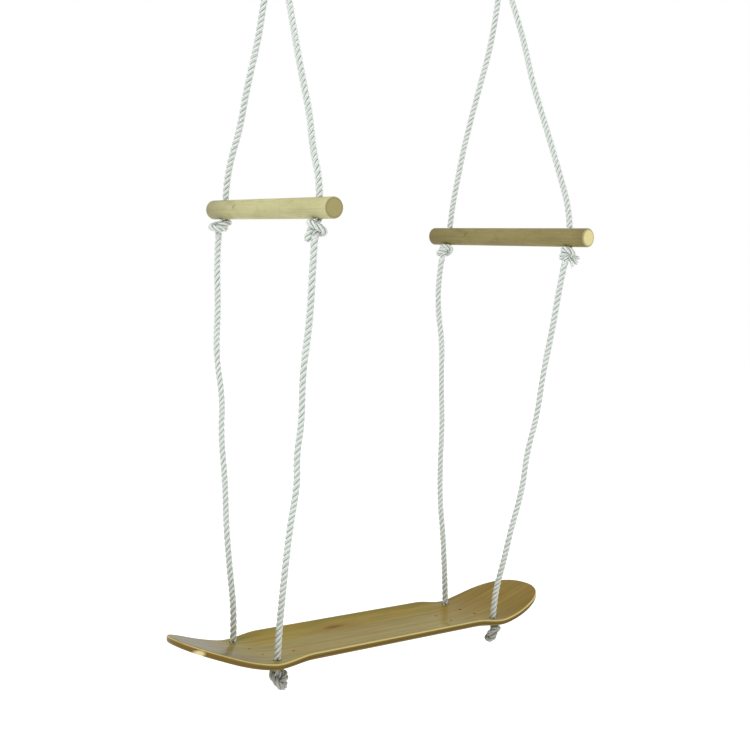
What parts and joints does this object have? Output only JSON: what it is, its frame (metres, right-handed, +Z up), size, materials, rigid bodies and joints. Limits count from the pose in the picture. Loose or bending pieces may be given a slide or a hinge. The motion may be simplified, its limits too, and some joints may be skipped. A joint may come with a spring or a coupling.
{
  "type": "skateboard deck swing",
  "caption": "Plywood skateboard deck hung level from two pairs of ropes, with a wooden dowel handle on each pair and steel eyes and links at the top.",
  "frame": {"origin": "where the left eye screw's plain shank leaves its collar, at the underside of the beam", "axes": "+X along the deck from tail to nose, +Y across the deck to its far side, +Z up along the eye screw"},
  "size_m": [0.806, 0.4424, 1.5713],
  "materials": {
    "deck_wood": "satin clear lacquer on maple plywood",
    "left_handle_wood": "pale dowel, thin satin lacquer",
    "right_handle_wood": "warmer dowel, thin satin lacquer",
    "rope": "three-strand laid synthetic rope, slightly glossy",
    "steel": "zinc plated"
  },
  "bodies": {
    "top_fittings": {"left_eye_screw": "steel", "right_eye_screw": "steel"},
    "left_link": {"left_quick_link": "steel", "left_link_nut": "steel"},
    "left_ropes": {"left_top_loop": "rope", "left_top_knot": "rope", "left_handle": "left_handle_wood", "left_far_upper_rope": "rope", "left_far_handle_knot": "rope", "left_far_lower_rope": "rope", "left_near_upper_rope": "rope", "left_near_handle_knot": "rope", "left_near_lower_rope": "rope"},
    "right_link": {"right_quick_link": "steel", "right_link_nut": "steel"},
    "right_ropes": {"right_top_loop": "rope", "right_top_knot": "rope", "right_handle": "right_handle_wood", "right_far_upper_rope": "rope", "right_far_handle_knot": "rope", "right_far_lower_rope": "rope", "right_near_upper_rope": "rope", "right_near_handle_knot": "rope", "right_near_lower_rope": "rope"},
    "deck_body": {"deck": "deck_wood", "left_far_rope_end": "rope", "left_far_deck_knot": "rope", "left_near_rope_end": "rope", "left_near_deck_knot": "rope", "right_far_rope_end": "rope", "right_far_deck_knot": "rope", "right_near_rope_end": "rope", "right_near_deck_knot": "rope"}
  },
  "joints": [
    {"name": "left_swing_across", "type": "hinge", "parent": "top_fittings", "child": "left_link", "pos_m": [0, 0, -0.044], "axis": [1, 0, 0], "range_deg": [-40, 40]},
    {"name": "right_swing_across", "type": "hinge", "parent": "top_fittings", "child": "right_link", "pos_m": [0.5, 0, -0.044], "axis": [1, 0, 0], "range_deg": [-40, 40]},
    {"name": "left_swing_along", "type": "hinge", "parent": "left_link", "child": "left_ropes", "pos_m": [0, 0, -0.1017], "axis": [0, 1, 0], "range_deg": [-20, 20]},
    {"name": "right_swing_along", "type": "hinge", "parent": "right_link", "child": "right_ropes", "pos_m": [0.5, 0, -0.1017], "axis": [0, 1, 0], "range_deg": [-20, 20]},
    {"name": "deck_pivot", "type": "hinge", "parent": "left_ropes", "child": "deck_body", "pos_m": [-0.006, 0.008, -1.4557], "axis": [0, 1, 0], "range_deg": [-20, 20]}
  ],
  "couplings": [
    {"joint": "right_swing_across", "follows": "left_swing_across", "ratio": 1},
    {"joint": "right_swing_along", "follows": "left_swing_along", "ratio": 1},
    {"joint": "deck_pivot", "follows": "left_swing_along", "ratio": -1}
  ]
}
